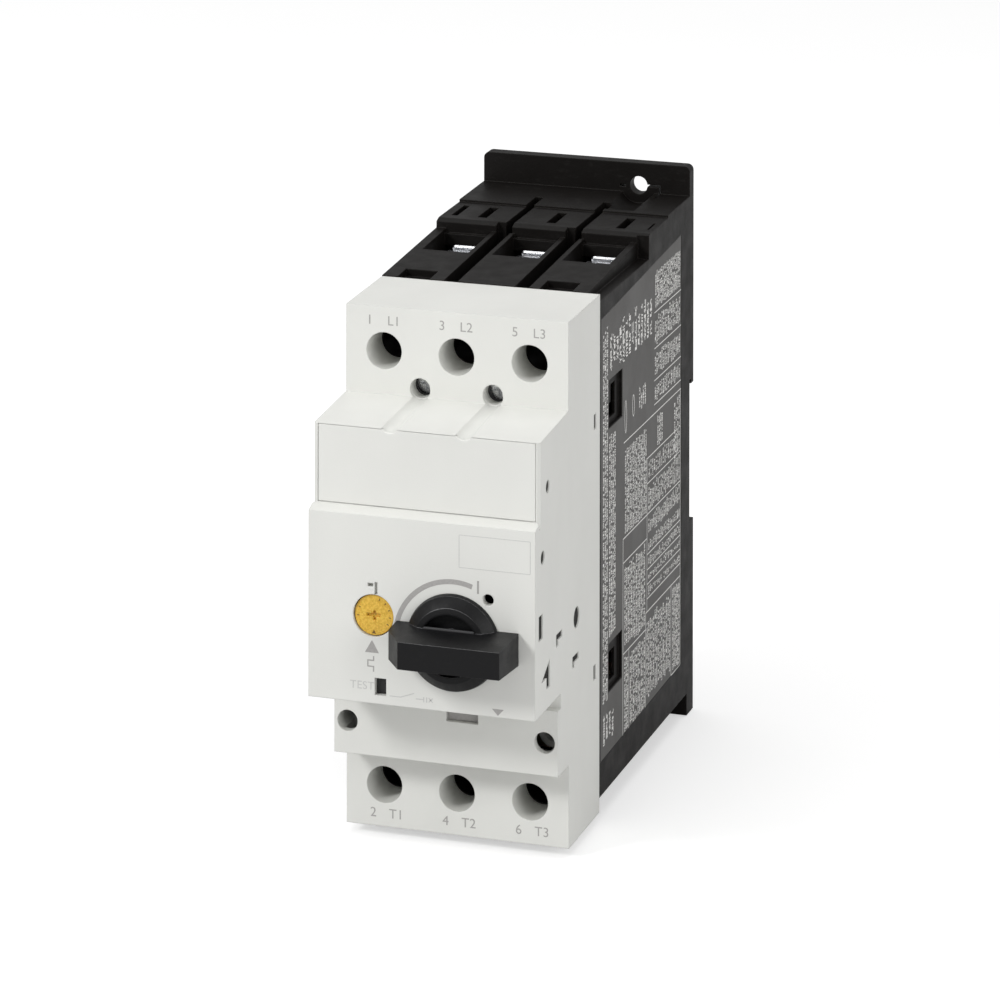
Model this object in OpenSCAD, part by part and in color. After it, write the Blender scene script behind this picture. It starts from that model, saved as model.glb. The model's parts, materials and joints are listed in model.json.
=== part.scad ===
// Three-pole motor protection breaker with a rotary handle, for a 35 mm rail.
// Frame: X across the poles, +Y towards the mounting plane, +Z up.
// The origin is the centre of the mounting plane on the rail's centreline.

/* [Body] */
// Width of the housing and the cover
body_w = 55; // [54.6:0.1:55.6]
// Height over the two mounting flanges
body_h = 140; // [139:0.5:143]
// Height of the rail's centreline above the lower flange edge
rail_up = 67.5; // [67:0.25:68.5]
// Depth of the dark rear housing
rear_d = 91; // [90.5:0.25:92]
// Side wall of the rear housing
side_wall = 1.8; // [1.6:0.1:2]

/* [Front cover] */
// Wall of the light front cover
cover_wall = 2.2; // [2:0.1:2.4]
// Depth from the mounting plane to the front panel
panel_d = 147; // [146.5:0.25:148]
// Depth to the face with the line screw holes
line_face_d = 119; // [118.5:0.25:119.5]
// Depth to the face with the load screw holes
load_face_d = 118; // [117.5:0.25:118.5]
// Depth to the ledge under the panel
ledge_face_d = 127.5; // [127:0.25:128]
// Depth to the label plate
plate_face_d = 143.2; // [143:0.1:143.4]

/* [Terminals] */
// Distance between the poles
pole_pitch = 18; // [17.9:0.05:18.1]
// Height of the line screws above the rail's centreline
line_screw_z = 48.3; // [48:0.1:48.6]
// Height of the load screws, measured down from the rail's centreline
load_screw_z = 55.3; // [55:0.1:55.6]
// Radius of the screwdriver holes
driver_r = 4.4; // [4.2:0.1:4.6]

/* [Handle] */
// Handle axis from the centre plane
knob_x = 7.8; // [7.6:0.1:8]
// Handle axis above the rail's centreline
knob_z = -10.4; // [-10.6:0.1:-10.2]
// Height of the grip above the panel
grip_h = 14; // [13:0.5:15]
// Thickness of the grip at its front
grip_t = 6.3; // [6:0.1:6.6]
// Radius of the handle's skirt
skirt_r = 11.3; // [11:0.1:11.6]

/* [Mechanism] */
// Opening of each contact gap
contact_gap = 5; // [4.8:0.1:5]
// Number of arc splitter plates in a stack
arc_plates_n = 6; // [4:1:6]

/* [Rail and flanges] */
// Width of the mounting rail
rail_w = 35; // [34.8:0.1:35.2]
// Radius of the two fixing holes
fix_r = 2.3; // [2.2:0.1:2.5]
// Travel of the rail foot
foot_travel = 5; // [4:0.5:5.5]

/* [Hidden] */
$fn = 48;

light = [0.87, 0.88, 0.86];
dark = [0.14, 0.13, 0.12];
label_grey = [0.42, 0.41, 0.40];
knob_black = [0.13, 0.13, 0.14];
dial_yellow = [0.92, 0.73, 0.22];
steel = [0.72, 0.73, 0.75];
copper = [0.78, 0.48, 0.32];
silver = [0.86, 0.86, 0.84];
beige = [0.80, 0.74, 0.60];

half_w = body_w / 2;
top_z = body_h - rail_up;
bottom_z = -rail_up;
poles = [-pole_pitch, 0, pole_pitch];
line_z = line_screw_z;
load_z = -load_screw_z;
slip = 0.05;
eps = 0.01;

// Rear housing: outline of its side, and its top deck
deck_front_z = 59.4;
deck_rear_z = 61.6;
ridge_y = -46;
ridge_z = 63.2;
ridge_ramp = 2;
cap_y = -26;
cap_z = 64;
cap_step = 0.6;
flange_foot_z = 64.9;
flange_t = 4;
flange_corner_r = 1.5;
under_z = -61.9;
lower_flange_t = 6.5;
fix_x = 14;
fix_top_z = 66.8;
fix_low_z = -62.2;
head_r = 4.6;

// Rail recess: seat face, the lip slot behind the fixed hook, and the hook's tip
seat_d = 3.9;
lip_y = -2.5;
lip_z = rail_w / 2 + 0.4;
hook_z = rail_w / 2 - 0.9;
recess_low_z = -rail_w / 2 - 0.9;

// Chambers inside the rear housing
inner_half = half_w - side_wall;
back_y = -8;
bay_wall_t = 2;
bay_top_z = 54.8;
bay_low_z = -55.5;
bay_wall_y = -rear_d + 3.5;
well_w = 12;
well_shift = -1;
well_front_y = -66;
well_rib = 1.2;
well_room_y = [-88, -44];
well_low_z = -59.4;
groove_w = 3.6;
groove_shift = 8;
groove_floor_z = 56.4;
ledge_x = 24.6;
ledge_z = 57.6;

// Front cover: heights of its faces
cover_low_z = -65.3;
load_top_z = -45.5;
ledge_top_z = -30.1;
undercut_y = -125;
panel_low_z = -26.6;
panel_top_z = 17;
plate_low_z = 18;
plate_top_z = 36.4;
shelf_z = 37.9;
line_top_z = 58.8;
seam_top_z = 59.2;
panel_y = -panel_d;
plate_y = -plate_face_d;
plate_t = 1.2;
plate_half = 26.4;
plate_chamfer = 1;

// Cover screws: two above and two beside the ledge
screw_high = [9, 40];
screw_low = [24.2, -37.8];
screw_spots = [
  [-screw_high[0], screw_high[1]], [screw_high[0], screw_high[1]],
  [-screw_low[0], screw_low[1]], [screw_low[0], screw_low[1]]
];
screw_hole_r = 2.5;
screw_head_r = 2.4;
screw_head_y = -113;
screw_head_h = 2;
screw_shank_r = 1.3;
screw_tip_y = -78;
screw_boss_r = 3.2;
screw_slot = 3.2;
screw_slot_depth = 1.2;

// Driver tubes, the handle's collar, and the small openings of the panel
tube_wall = 1.2;
tube_end_y = -93.5;
collar_r = 6;
collar_l = 9;
lock_hole = [16.2, 0.2];
lock_hole_r = 1.35;
notch_x = [0.2, 8];
notch_in = 1.8;
notch_h = 5.2;

// Side windows and the label around them
window_z = [30.6, -33.2];
window_y = [-82.6, -70.1];
window_half = 5.7;
label_recess = 0.2;
label_t = 0.15;

// Box clamps and their screws
clamp_w = 9.8;
clamp_y = [-66, -50];
clamp_wall = 1.6;
clamp_head = 1.8;
clamp_hole_r = 2.5;
clamp_low_z = 43;
clamp_top_z = 57.2;
clamp_load_z = -59;
term_head_r = 4;
term_head_y = [-86, -82];
term_thread_r = 2.45;
term_tip_y = -58.5;

// Contacts, from the line side to the load side
bar_y = [-53.2, -51.7];
bar_w = 6;
bar_shelf_z = [33, 7, -36];
clamp_shelf_z = [40.9, -42.9];
shelf_t = 2;
contact_mid_z = 22;
contact_reach = 8;
tip_t = 0.95;
bar_t = bar_y[1] - bar_y[0];
contact_gap_half = 4.5;
strap_z = -17;
lead_in = 2.5;
strip_x = [3.4, 5.8];
strip_y = [-62.6, -61.8];
strip_z = [-38, -8];
bridge_t = 1.5;
bridge_y = bar_y[0] - tip_t - contact_gap - slip - 1 - bridge_t;
carrier_y = [-80, -73];
carrier_z = [18, 26];

// Magnetic release, one coil to a pole
coil_z = -8;
coil_y = [-46, -22];
core_r = 2.35;
bobbin_r = 3.4;
wire_r = 0.9;
bobbin_rim_r = 5.8;
bobbin_rim_t = 1.2;
yoke_half = 7.4;
yoke_h = 10;
yoke_t = 1;
yoke_base_t = 1.5;
coil_turns = 8;
coil_in = 1.6;
coil_r = bobbin_r + wire_r + 0.25;
lead_reach = coil_r + wire_r + 0.05;

// Trip bar
bar_axis_y = -66;
bar_axis_z = -18;
bar_r = 2;
bar_half = 25.3;
test_arm_z = -30;
test_arm_x = -11.8;

// Handle shaft, its frame and its cam
shaft_r = 3.45;
shaft_tip_r = 2;
frame_y = [-106, -103];
cam_r = 8.2;
cam_arm = 6.6;
cam_mid_y = -95.2;

// Setting dial and test button
dial_x = -11.6;
dial_z = -6.2;
dial_r = 4.7;
dial_shaft_r = 2;
dial_y = panel_y + 0.6;
dial_gap = 0.25;
test_x = -9.8;
test_z = -22.6;
test_w = 2.8;
test_h = 4;

// Opening spring and its seat
spring_z = -2.5;
spring_seat_y = -52;
spring_seat_half = 2;

// Contact carrier, its bridges and its follower
carrier_half = 24.5;
bridge_arm_x = 4;
bridge_arm_t = 1.2;
bridge_half = 10.5;
bridge_w = 5.8;
retainer_t = 0.9;
follower_r = 1.5;
follower_w = 4;

// Test rod and latch
rod_r = 1.4;
rod_kink_y = [-100, -98];
spring_stop_y = -118;
button_stem_y = panel_y + cover_wall + 0.1;
button_skirt = 0.9;
latch_x = [-6, -4];
latch_front_y = -88;

// Rail foot
foot_w = 18;
foot_neck_w = 14;
foot_t = 3.6;
foot_low_z = -67;
spring_solid_z = -31;
foot_window = [-50, spring_solid_z + foot_travel];
post_top_z = -47;
post_w = 4.4;

// A box between low and high bounds on each axis
module box(x, y, z) {
  translate([x[0], y[0], z[0]])
    cube([x[1] - x[0], y[1] - y[0], z[1] - z[0]]);
}

// A round bar along Y
module rod_y(x, z, r, y) {
  translate([x, y[1], z])
    rotate([90, 0, 0])
      cylinder(h = y[1] - y[0], r = r);
}

// A round bar along X
module rod_x(y, z, r, x) {
  translate([x[0], y, z])
    rotate([0, 90, 0])
      cylinder(h = x[1] - x[0], r = r);
}

// A side outline in (y, z), extruded across X
module across(x, outline) {
  translate([x[0], 0, 0])
    rotate([90, 0, 90])
      linear_extrude(x[1] - x[0])
        polygon(outline);
}

// A wire coil of round section that climbs along Z
module coil(r, wire, length, turns, steps = 12, sides = 6) {
  n = turns * steps;
  climb = (length - 2 * wire) / n;
  points = [
    for (i = [0:n], j = [0:sides - 1])
      let (a = 360 * i / steps, b = 360 * j / sides, d = r + wire * cos(b))
        [d * cos(a), d * sin(a), wire + climb * i + wire * sin(b)]
  ];
  skin = [
    for (i = [0:n - 1], j = [0:sides - 1], half = [0, 1])
      let (k = (j + 1) % sides, p = i * sides, q = p + sides)
        half == 0 ? [p + j, p + k, q + j] : [p + k, q + k, q + j]
  ];
  start = [for (j = [sides - 1:-1:0]) j];
  end = [for (j = [0:sides - 1]) n * sides + j];
  polyhedron(points, concat(skin, [start, end]), convexity = 20);
}

// The same coil laid along Y from y[0] to y[1]
module coil_y(x, z, r, wire, y, turns) {
  translate([x, y[1], z])
    rotate([90, 0, 0])
      coil(r, wire, y[1] - y[0], turns);
}

// A cross recess that is cut into a screw head facing the front
module cross_recess(x, z, y, size, depth) {
  for (turn = [0, 90])
    translate([x, y, z])
      rotate([0, turn, 0])
        box([-size / 2, size / 2], [-eps, depth], [-size / 8, size / 8]);
}

// ---- Rear housing

module rear_outline() {
  across([-half_w, half_w], [
    [-rear_d, under_z],
    [-rear_d, deck_front_z],
    [ridge_y, deck_rear_z],
    [ridge_y, ridge_z],
    [ridge_y + ridge_ramp, ridge_z + cap_step],
    [cap_y, cap_z],
    [cap_y, cap_z + cap_step],
    [-flange_t, flange_foot_z],
    [0, flange_foot_z],
    [0, hook_z],
    [lip_y, hook_z],
    [lip_y, lip_z],
    [-seat_d, lip_z],
    [-seat_d, recess_low_z],
    [0, recess_low_z],
    [0, bottom_z],
    [-lower_flange_t, bottom_z],
    [-lower_flange_t, under_z]
  ]);
}

module upper_flange() {
  low = flange_foot_z - 2;
  r = flange_corner_r;
  box([-half_w, half_w], [-flange_t, 0], [low, top_z - r]);
  box([r - half_w, half_w - r], [-flange_t, 0], [low, top_z]);
  for (side = [-1, 1])
    rod_y(side * (half_w - r), top_z - r, r, [-flange_t, 0]);
}

module fixing_holes() {
  bore = [-20, 1];
  pocket_l = 20;
  rod_y(fix_x, fix_top_z, fix_r, bore);
  rod_y(fix_x, fix_top_z, head_r, [-flange_t - pocket_l, -flange_t]);
  rod_y(-fix_x, fix_low_z, fix_r, bore);
  rod_y(-fix_x, fix_low_z, head_r, [-lower_flange_t - pocket_l, -lower_flange_t]);
  // Release slits that make the upper corner springy
  slit = 0.6;
  slit_reach = 5.8;
  slit_drop = 4.5;
  box([fix_x - 5, fix_x - 3.4], bore, [fix_top_z - slit, fix_top_z]);
  box([fix_x, fix_x + slit_reach], [-flange_t - eps, 1], [fix_top_z - slit / 2, fix_top_z + slit / 2]);
  box([fix_x + slit_reach - slit, fix_x + slit_reach], [-9, 1], [fix_top_z - slit_drop, fix_top_z + slit / 2]);
}

// Chambers open to the front, one to a pole, with a taller one at each terminal
module bays() {
  half_bay = pole_pitch / 2 - bay_wall_t / 2;
  outer = half_bay + bay_wall_t;
  for (span = [[-inner_half, -outer], [-half_bay, half_bay], [outer, inner_half]])
    box(span, [-rear_d - 1, back_y], [bay_low_z, bay_top_z]);
  box([-inner_half, inner_half], [-rear_d - 1, bay_wall_y], [bay_low_z, bay_top_z]);
  for (x = poles)
    box(well_span(x), well_room_y, [well_low_z, ledge_z]);
}

function well_span(x) = [x + well_shift - well_w / 2, x + well_shift + well_w / 2];

// Wire entries through the deck and through the underside
module wire_wells() {
  for (x = poles) {
    box(well_span(x), [well_front_y, ridge_y - well_rib], [under_z - 1, top_z]);
    box(well_span(x), [well_front_y, ridge_y], [deck_rear_z - 1, top_z]);
  }
}

// Creepage grooves between the poles, above and below
module pole_grooves() {
  tail = [0.3, 2.4];
  tail_end_y = -17;
  tail_rise = 1.6;
  lower_depth = 4;
  for (x = [groove_shift - pole_pitch, groove_shift]) {
    span = [x - groove_w / 2, x + groove_w / 2];
    box(span, [-rear_d - 1, ridge_y + 2], [groove_floor_z, top_z]);
    box([x + tail[0], x + tail[1]], [ridge_y, tail_end_y], [groove_floor_z + tail_rise, top_z]);
    box(span, [-rear_d - 1, ridge_y], [under_z - 1, under_z + lower_depth]);
  }
  box([ledge_x, half_w + 1], [-rear_d - 1, ridge_y + 1], [ledge_z, top_z]);
}

// Slots behind the ridge and shallow notches at the seam
module deck_pockets() {
  slot_y = [-41, -29.5];
  slot_z = [59.5, top_z];
  for (x = poles)
    box([x - 0.2, x + 2.2], slot_y, slot_z);
  box([-25.1, -23.5], slot_y, slot_z);
  box([25.6, 26.2], [-40, -33], slot_z);
  notch = [-5.6, 2.7];
  notch_end_y = -83.8;
  notch_depth = 1.5;
  for (x = [-pole_pitch, pole_pitch])
    box([x + notch[0], x + notch[1]], [-rear_d - 1, notch_end_y], [deck_front_z - notch_depth, top_z]);
}

// Framed windows on both sides for side-mounted auxiliaries
module side_windows() {
  hole_y = [-80.9, -73.7];
  step_y = -77.8;
  upper_z = [26.4, 30.1];
  upper_end_z = 34.3;
  lower_z = [-37.4, -30.3];
  through = [inner_half - 1, half_w + 1];
  for (side = [0, 1])
    mirror([side, 0, 0]) {
      for (z = window_z)
        box([half_w - 1, half_w + 1], window_y, [z - window_half, z + window_half]);
      box(through, hole_y, upper_z);
      box(through, [step_y, hole_y[1]], [upper_z[0], upper_end_z]);
      box(through, hole_y, lower_z);
    }
}

// Slots that the trip bar and the contact carrier pass through
module crossbar_slots() {
  for (side = [-1, 1]) {
    x = side * pole_pitch / 2;
    span = [x - bay_wall_t / 2 - eps, x + bay_wall_t / 2 + eps];
    box(span, [-rear_d, bar_axis_y], [bar_axis_z - bar_r - slip, bar_axis_z + bar_r + slip]);
    rod_x(bar_axis_y, bar_axis_z, bar_r + slip, span);
    box(span, [-rear_d, carrier_y[1] + contact_gap + 0.5], [carrier_z[0] - 0.5, carrier_z[1] + 0.5]);
  }
}

// T-shaped track for the rail foot, open at the bottom
module foot_track() {
  mouth = foot_neck_w / 2 + 0.2;
  wide = foot_w / 2 + 0.2;
  box([-mouth, mouth], [-2, 1], [bottom_z - 1, recess_low_z + 1]);
  box([-wide, wide], [-foot_t - 0.1, -1.3], [bottom_z - 1, recess_low_z + 1]);
}

// Shelves that carry the conductors, the clamps and the coils
module bay_shelves() {
  for (x = poles) {
    half = pole_pitch / 2 - bay_wall_t / 2;
    span = [max(x - half, -inner_half) - eps, min(x + half, inner_half) + eps];
    for (z = bar_shelf_z)
      box(span, [bar_y[1], back_y + eps], [z, z + shelf_t]);
    for (z = clamp_shelf_z)
      box(span, [-68, -54.5], [z, z + shelf_t]);
    box([x - 3, x + 3], [coil_y[1] + 2, back_y + eps], [coil_z - 4, coil_z + 4]);
  }
  // Seat of the opening spring, between the two inner walls
  seat_half = pole_pitch / 2 - bay_wall_t / 2 + eps;
  box([-seat_half, seat_half], [spring_seat_y, spring_seat_y + shelf_t],
      [spring_z - spring_seat_half, spring_z + spring_seat_half]);
}

module screw_bosses() {
  for (spot = screw_spots)
    intersection() {
      rod_y(spot[0], spot[1], screw_boss_r, [-rear_d, screw_tip_y + 4]);
      box([-half_w + eps, half_w - eps], [-rear_d, 0], [bottom_z, top_z]);
    }
}

module rear_housing() color(dark) {
  difference() {
    union() {
      difference() {
        union() {
          rear_outline();
          upper_flange();
        }
        bays();
        crossbar_slots();
      }
      bay_shelves();
      screw_bosses();
      // Lug of the lower terminal guard
      lug_drop = 1.1;
      box([half_w - 9, half_w - 1], [-55, ridge_y], [under_z - lug_drop, under_z + eps]);
    }
    wire_wells();
    pole_grooves();
    deck_pockets();
    side_windows();
    fixing_holes();
    foot_track();
    for (spot = screw_spots)
      rod_y(spot[0], spot[1], screw_shank_r + slip, [-rear_d - 1, screw_tip_y + 1]);
    across([half_w - label_recess, half_w + 1], label_outline(0));
  }
  // Post that the foot spring stands on
  box([-post_w / 2, post_w / 2], [-foot_t - 0.2, -0.4], [foot_window[0] + 0.1, post_top_z]);
}

// ---- Front cover

// The cover's side outline, moved inwards by t; it stays open at the back
function cover_outline(t, back) = [
  [back, cover_low_z + t],
  [t - load_face_d, cover_low_z + t],
  [t - load_face_d, load_top_z + t],
  [t - ledge_face_d, load_top_z + t],
  [t - ledge_face_d, ledge_top_z - t],
  [undercut_y + t, ledge_top_z - t],
  [undercut_y + t, panel_low_z + t],
  [panel_y + t, panel_low_z + t],
  [panel_y + t, panel_top_z - t],
  [plate_y + t, plate_low_z - t],
  [plate_y + t, plate_top_z - t],
  [t - line_face_d, shelf_z - t],
  [t - line_face_d, line_top_z - t],
  [back, seam_top_z - t]
];

// Guide tubes around the driver holes, and posts around the cover screws
module cover_tubes() {
  intersection() {
    union() {
      for (x = poles) {
        rod_y(x, line_z, driver_r + tube_wall, [-line_face_d + 0.5, tube_end_y]);
        rod_y(x, load_z, driver_r + tube_wall, [-load_face_d + 0.5, tube_end_y]);
      }
      for (spot = screw_spots)
        rod_y(spot[0], spot[1], screw_hole_r + 1.5, [-line_face_d + 0.5, frame_y[0]]);
      rod_y(knob_x, knob_z, collar_r, [panel_y + 1, panel_y + collar_l]);
    }
    across([-half_w + eps, half_w - eps], cover_outline(eps, -rear_d));
  }
}

// Driver grooves over the shelf and the plate's upper edge, in line with the two upper screws
module driver_grooves() {
  run = plate_face_d - line_face_d + 2;
  groove_fall = 1.95;
  groove_drop = 0.25;
  for (side = [-1, 1])
    translate([side * screw_high[0], -line_face_d + 1, screw_high[1] - groove_drop])
      rotate([90 + atan(groove_fall / run), 0, 0])
        cylinder(h = run + 3, r = screw_hole_r);
}

module cover_holes() {
  for (x = poles) {
    rod_y(x, line_z, driver_r, [-line_face_d - 1, -rear_d]);
    rod_y(x, load_z, driver_r, [-load_face_d - 1, -rear_d]);
  }
  for (spot = screw_spots) {
    rod_y(spot[0], spot[1], screw_hole_r, [-ledge_face_d - 1, screw_head_y + screw_head_h]);
    rod_y(spot[0], spot[1], screw_shank_r + 0.1, [-line_face_d, -rear_d]);
  }
  driver_grooves();
  rod_y(knob_x, knob_z, shaft_r + slip, [panel_y - 1, panel_y + collar_l + 1]);
  rod_y(dial_x, dial_z, dial_r + dial_gap, [panel_y - 1, panel_y + 5]);
  box([test_x - test_w / 2, test_x + test_w / 2], [panel_y - 1, panel_y + 5],
      [test_z - test_h / 2, test_z + test_h / 2]);
  // Locking hole beside the handle, and the notch for a front auxiliary
  rod_y(lock_hole[0], lock_hole[1], lock_hole_r, [panel_y - 1, panel_y + 5]);
  box(notch_x, [-ledge_face_d - 1, -ledge_face_d + notch_in], [ledge_top_z - notch_h, ledge_top_z + eps]);
  // Sealing eye above the dial
  eye_floor_y = panel_y + 1.4;
  box([-13, -11.6], [panel_y - 1, eye_floor_y], [0.5, 1.3]);
  box([-11.3, -10.6], [panel_y - 1, eye_floor_y - 0.2], [-1.2, 1.6]);
}

// Openings in the sides for coupling auxiliaries
latch_slot_z = [29.7, -30.4];
latch_slot_y = [-96.4, -94.3];
latch_slot_half = 1.8;
module cover_side_openings() {
  cut = [half_w - 3, half_w + 1];
  rod_x(-136.7, 24.8, 1.5, cut);
  rod_x(-140.8, 9.4, 1.6, cut);
  rod_x(-111.6, -12.6, 2.5, cut);
  box(cut, [-144, -140.6], [-9.2, -3.5]);
  box(cut, [-129.2, -127.4], [-14.7, -11.8]);
  box(cut, [-127.5, -124], [-13.4, -11.8]);
  box(cut, [-115.1, -113.4], [-23.8, -21.1]);
  box(cut, [-113.5, -109.7], [-22.7, -21.1]);
  box(cut, [-137.4, -134.6], [-22, -19.4]);
  across(cut, [[-141.6, -19.4], [-134.6, -15.6], [-134.6, -19.4]]);
  for (side = [0, 1])
    mirror([side, 0, 0])
      for (z = latch_slot_z)
        box(cut, latch_slot_y, [z - latch_slot_half, z + latch_slot_half]);
}

// A block inside the housing's mouth, smaller by gap all round, with its depth about the seam
module lip_block(gap, depth)
  box([gap - inner_half, inner_half - gap], [depth[0] - rear_d, depth[1] - rear_d],
      [bay_low_z + gap, bay_top_z - gap]);

module front_cover() color(light) difference() {
  union() {
    difference() {
      across([-half_w, half_w], cover_outline(0, -rear_d));
      across([cover_wall - half_w, half_w - cover_wall], cover_outline(cover_wall, -rear_d + 1));
    }
    cover_tubes();
    // Lip that centres the cover in the rear housing
    difference() {
      lip_block(0.1, [-2, 3]);
      lip_block(1.3, [-3, 4]);
      for (spot = screw_spots)
        rod_y(spot[0], spot[1], screw_boss_r + 0.2, [-rear_d - 3, -rear_d + 4]);
    }
  }
  cover_holes();
  cover_side_openings();
  // Pocket for the label plate, and chamfers beside it
  box([-plate_half - 0.1, plate_half + 0.1], [plate_y - 1, plate_y + plate_t],
      [plate_low_z + 0.1, plate_top_z - 0.1]);
  for (side = [-1, 1])
    translate([side * half_w, plate_y, (plate_low_z + plate_top_z) / 2])
      rotate([0, 0, 45])
        cube([plate_chamfer, plate_chamfer, plate_top_z - plate_low_z + 3], center = true);
}

module label_plate() color(light) difference() {
  box([-plate_half, plate_half], [plate_y, plate_y + plate_t], [plate_low_z + 0.2, plate_top_z - 0.2]);
  driver_grooves();
}

// Outline of the printed side label, moved inwards by t
function label_outline(t) = [
  [-89.8 + t, -53.8 + t],
  [-89.8 + t, 52.8 - t],
  [-52, 54.8 - t],
  [-12.6 - t, 56.9 - t],
  [-12.6 - t, -52.6 + t]
];

module side_label() color(label_grey) difference() {
  margin = 0.2;
  across([half_w - label_recess, half_w - label_recess + label_t], label_outline(0.1));
  for (z = window_z)
    box([half_w - 1, half_w + 1], [window_y[0] - margin, window_y[1] + margin],
        [z - window_half - margin, z + window_half + margin]);
}

module cover_screws() color(steel)
  for (spot = screw_spots)
    difference() {
      union() {
        rod_y(spot[0], spot[1], screw_head_r, [screw_head_y, screw_head_y + screw_head_h]);
        rod_y(spot[0], spot[1], screw_shank_r, [screw_head_y + screw_head_h, screw_tip_y]);
      }
      cross_recess(spot[0], spot[1], screw_head_y, screw_slot, screw_slot_depth);
    }

// ---- Terminals and the current path

// A box clamp: a frame the wire enters along Z, closed on by a screw along Y
module clamps(z, screw_z) {
  for (x = poles)
    difference() {
      box([x - clamp_w / 2, x + clamp_w / 2], clamp_y, z);
      box([x - clamp_w / 2 + clamp_wall, x + clamp_w / 2 - clamp_wall],
          [clamp_y[0] + clamp_head, clamp_y[1] - clamp_wall], [z[0] - 1, z[1] + 1]);
      rod_y(x, screw_z, clamp_hole_r, [clamp_y[0] - 1, -60]);
    }
}

module line_clamps() color(steel) clamps([clamp_low_z, clamp_top_z], line_z);

module load_clamps() color(steel) clamps([clamp_load_z, load_z * 2 - clamp_load_z], load_z);

module terminal_screws(z) {
  for (x = poles)
    difference() {
      union() {
        rod_y(x, z, term_head_r, term_head_y);
        rod_y(x, z, term_thread_r, [term_head_y[1], term_tip_y]);
      }
      cross_recess(x, z, term_head_y[0], 5.6, 2);
    }
}

module line_screws() color(steel) terminal_screws(line_z);

module load_screws() color(steel) terminal_screws(load_z);

// A flat conductor of the common width
module flat_bar(x, y, z)
  box([x - bar_w / 2, x + bar_w / 2], y, z);

module line_conductors() color(copper)
  for (x = poles)
    flat_bar(x, bar_y, [contact_mid_z + contact_gap_half, 53]);

// From the load contact, down and back over the coil to its rear lead
module load_conductors() color(copper)
  for (x = poles) {
    flat_bar(x, bar_y, [0, contact_mid_z - contact_gap_half]);
    flat_bar(x, [bar_y[0], coil_y[1] - 1], [0, bar_t]);
    translate([x, coil_y[1] - lead_in, coil_z + lead_reach])
      cylinder(h = 0.5 - coil_z - lead_reach, r = wire_r);
  }

// From the coil's front lead to the load terminal, with the bimetal's bracket
module load_straps() color(copper)
  for (x = poles) {
    translate([x, coil_y[0] + 3, strap_z - 1])
      cylinder(h = coil_z - lead_reach - strap_z + 1, r = wire_r);
    flat_bar(x, [bar_y[0], coil_y[0] + 4.5], [strap_z - bar_t, strap_z]);
    flat_bar(x, bar_y, [-58, strap_z]);
    box([x + 1, x + strip_x[1]], [strip_y[1], bar_y[0] + eps], [strip_z[0], strip_z[0] + 3]);
  }

module contact_tips(y, r) {
  for (x = poles, side = [-1, 1])
    rod_y(x, contact_mid_z + side * contact_reach, r, y);
}

module fixed_contacts() color(silver) contact_tips([bar_y[0] - tip_t, bar_y[0]], 2.3);

// Two stacks of notched splitter plates to a pole
arc_low_z = [contact_mid_z + 11.2, contact_mid_z - 19];
arc_h = 7.4;
arc_half = 6.2;
arc_step = 2.3;
arc_plate_t = 0.9;
arc_start_y = -57;
arc_notch = 4.4;
cheek_x = 6.8;
cheek_t = 1;
module arc_plates() color(steel)
  for (x = poles, stack = [0, 1], i = [0:arc_plates_n - 1]) {
    low = arc_low_z[stack];
    y = arc_start_y - arc_step * i;
    edge = stack == 0 ? low : low + arc_h;
    difference() {
      box([x - arc_half, x + arc_half], [y - arc_plate_t, y], [low, low + arc_h]);
      translate([x, y + 1, edge])
        rotate([90, 45, 0])
          translate([-arc_notch / 2, -arc_notch / 2, 0])
            cube([arc_notch, arc_notch, arc_plate_t + 2.1]);
    }
  }

module arc_cheeks() color(beige)
  for (x = poles, low = arc_low_z, side = [-1, 1])
    box([x + side * cheek_x - cheek_t / 2, x + side * cheek_x + cheek_t / 2],
        [arc_start_y - arc_step * arc_plates_n, arc_start_y + 1], [low, low + arc_h]);

module trip_coils() color(copper)
  for (x = poles)
    coil_y(x, coil_z, coil_r, wire_r, [coil_y[0] + coil_in, coil_y[1] - coil_in], coil_turns);

module coil_bobbins() color(beige)
  for (x = poles)
    difference() {
      union() {
        rod_y(x, coil_z, bobbin_r, coil_y);
        rod_y(x, coil_z, bobbin_rim_r, [coil_y[0], coil_y[0] + bobbin_rim_t]);
        rod_y(x, coil_z, bobbin_rim_r, [coil_y[1] - bobbin_rim_t, coil_y[1]]);
      }
      rod_y(x, coil_z, core_r + slip, [coil_y[0] - 1, coil_y[1] - 3]);
    }

module magnet_yokes() color(steel)
  for (x = poles) {
    height = [coil_z - yoke_h / 2, coil_z + yoke_h / 2];
    box([x - yoke_half, x + yoke_half], [coil_y[1], coil_y[1] + yoke_base_t], height);
    for (side = [-1, 1]) {
      mid = x + side * (yoke_half - yoke_t / 2);
      box([mid - yoke_t / 2, mid + yoke_t / 2], [coil_y[0], coil_y[1] + eps], height);
    }
  }

module bimetals() color(steel)
  for (x = poles)
    box([x + strip_x[0], x + strip_x[1]], strip_y, strip_z);

// ---- Handle and contact drive

// Grip outline seen from above: the pointer end is cut back at an angle
grip_y = panel_y - grip_h;
grip_plan = [
  [-13.6, panel_y - 0.2],
  [-13.6, panel_y - 6.6],
  [-9.1, grip_y],
  [15.2, grip_y],
  [15.8, panel_y - 0.2]
];

module grip() intersection() {
  base_half = grip_t / 2 + 0.6;
  translate([0, 0, -grip_t])
    linear_extrude(2 * grip_t)
      polygon(grip_plan);
  across([-20, 20], [
    [panel_y, -base_half], [grip_y, -grip_t / 2],
    [grip_y, grip_t / 2], [panel_y, base_half]
  ]);
}

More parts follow.
